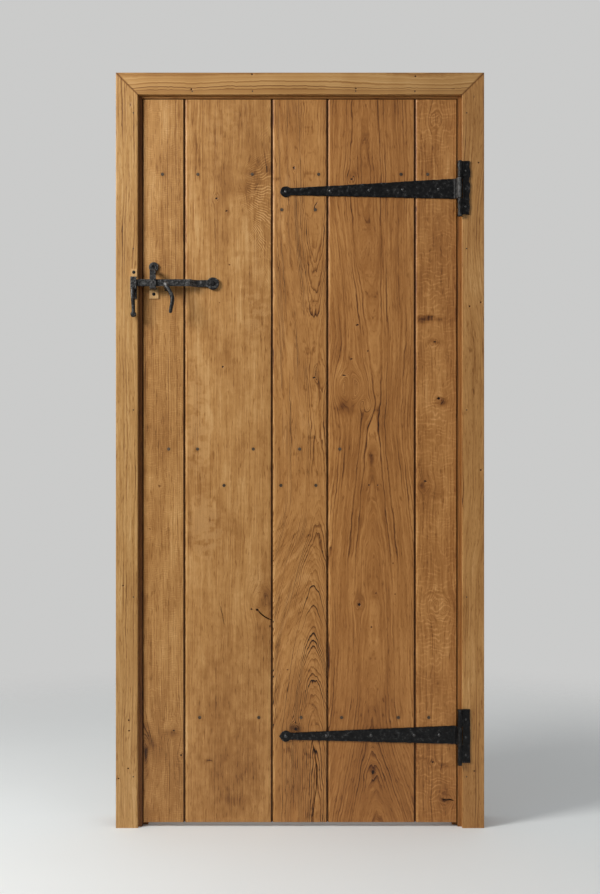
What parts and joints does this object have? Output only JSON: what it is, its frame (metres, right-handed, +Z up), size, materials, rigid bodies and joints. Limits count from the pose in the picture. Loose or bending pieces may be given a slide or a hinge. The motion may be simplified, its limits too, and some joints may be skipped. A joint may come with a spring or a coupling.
{
  "type": "plank door in its frame",
  "caption": "Ledged oak plank door hung on black strap hinges in an oak lining with mitred architraves, held by a thumb latch.",
  "frame": {"origin": "on the floor, at the middle of the width and of the whole depth", "axes": "+X to the right seen from the face with the hinges, +Y to the rear face, +Z up"},
  "size_m": [1.006, 0.1686, 2.063],
  "materials": {
    "oak_planks": "oiled, hand finished",
    "oak_ledges": "oiled",
    "oak_architraves": "oiled",
    "oak_linings": "oiled",
    "oak_pads": "oiled",
    "black_iron": "hammered, black",
    "iron_fixings": "dark"
  },
  "bodies": {
    "frame": {"left_jamb": "oak_linings", "right_jamb": "oak_linings", "head_lining": "oak_linings", "left_stop": "oak_linings", "right_stop": "oak_linings", "head_stop": "oak_linings", "front_left_architrave": "oak_architraves", "front_right_architrave": "oak_architraves", "front_head_architrave": "oak_architraves", "back_left_architrave": "oak_architraves", "back_right_architrave": "oak_architraves", "back_head_architrave": "oak_architraves", "front_architrave_nails": "iron_fixings", "back_architrave_nails": "iron_fixings", "stop_nails": "iron_fixings", "lining_screws": "iron_fixings", "upper_hinge_plate": "black_iron", "lower_hinge_plate": "black_iron", "upper_hinge_pin": "iron_fixings", "lower_hinge_pin": "iron_fixings", "upper_plate_screws": "iron_fixings", "lower_plate_screws": "iron_fixings", "latch_catch": "black_iron", "catch_pad": "oak_pads", "catch_screws": "iron_fixings"},
    "leaf": {"left_edge_plank": "oak_planks", "left_wide_plank": "oak_planks", "middle_plank": "oak_planks", "right_wide_plank": "oak_planks", "right_edge_plank": "oak_planks", "lower_ledge": "oak_ledges", "middle_ledge": "oak_ledges", "upper_ledge": "oak_ledges", "lower_ledge_nails": "iron_fixings", "middle_ledge_nails": "iron_fixings", "upper_ledge_nails": "iron_fixings", "upper_hinge_strap": "black_iron", "lower_hinge_strap": "black_iron", "upper_strap_screws": "iron_fixings", "lower_strap_screws": "iron_fixings", "latch_staple": "black_iron", "staple_pad": "oak_pads", "staple_screws": "iron_fixings", "latch_pivot": "iron_fixings", "pull_handle": "black_iron", "handle_screws": "iron_fixings", "lever_pin": "iron_fixings"},
    "latch_bar": {"latch_bar": "black_iron"},
    "thumb_lever": {"thumb_lever": "black_iron"}
  },
  "joints": [
    {"name": "leaf_swing", "type": "hinge", "parent": "frame", "child": "leaf", "pos_m": [0.436, -0.0522, 1], "axis": [0, 0, 1], "range_deg": [0, 170]},
    {"name": "thumb_press", "type": "hinge", "parent": "leaf", "child": "thumb_lever", "pos_m": [-0.366, 0.0003, 1.47445], "axis": [-1, 0, 0], "range_deg": [0, 14]},
    {"name": "latch_lift", "type": "hinge", "parent": "leaf", "child": "latch_bar", "pos_m": [-0.2385, -0.0347, 1.488], "axis": [0, 1, 0], "range_deg": [0, 6.51]}
  ],
  "couplings": [
    {"joint": "latch_lift", "follows": "thumb_press", "ratio": 0.465}
  ]
}
